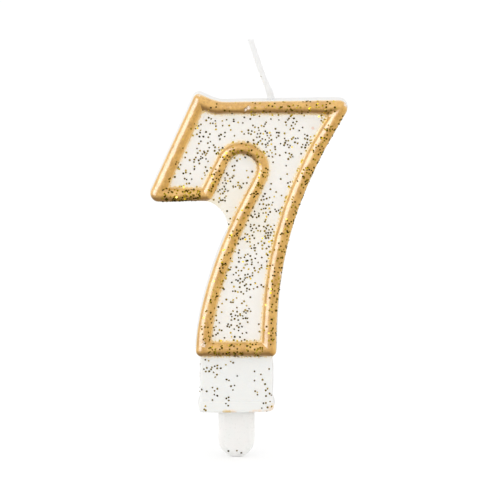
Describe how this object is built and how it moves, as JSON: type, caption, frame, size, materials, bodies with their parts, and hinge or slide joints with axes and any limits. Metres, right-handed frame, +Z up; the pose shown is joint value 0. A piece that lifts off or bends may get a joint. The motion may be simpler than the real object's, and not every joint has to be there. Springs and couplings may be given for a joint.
{
  "type": "number birthday candle",
  "caption": "Cast wax numeral 7 candle with a raised gold outline, glitter, a waxed wick and a flat plastic pick that stands in a cake.",
  "frame": {"origin": "on the pick's centre line and in its middle plane, level with the underside of the wax base, where the cake's surface comes", "axes": "+Z up along the pick, +X to the right as the 7 is read, the gold-outlined front facing -Y"},
  "size_m": [0.0523, 0.0101, 0.1118],
  "materials": {
    "pick_plastic": "natural translucent polypropylene, lightly frosted",
    "white_wax": "cast paraffin wax, satin, slightly translucent",
    "gold_lacquer": "satin metallic gold lacquer on wax",
    "waxed_cotton": "braided cotton in a thin coat of white wax",
    "gold_glitter": "metallised polyester glitter, mixed bright and dark flakes"
  },
  "bodies": {
    "pick": {"pick": "pick_plastic"},
    "candle": {"numeral_body": "white_wax", "gold_outline": "gold_lacquer", "wick_core": "waxed_cotton"},
    "wick_tip": {"wick_tail": "waxed_cotton"}
  },
  "joints": [
    {"name": "candle_lift", "type": "slide", "parent": "pick", "child": "candle", "axis": [0, 0, 1], "range_m": [0, 0.016]},
    {"name": "wick_bend", "type": "hinge", "parent": "candle", "child": "wick_tip", "pos_m": [0.0092, 0, 0.0838], "axis": [0, 1, 0], "range_deg": [-40, 60]}
  ]
}
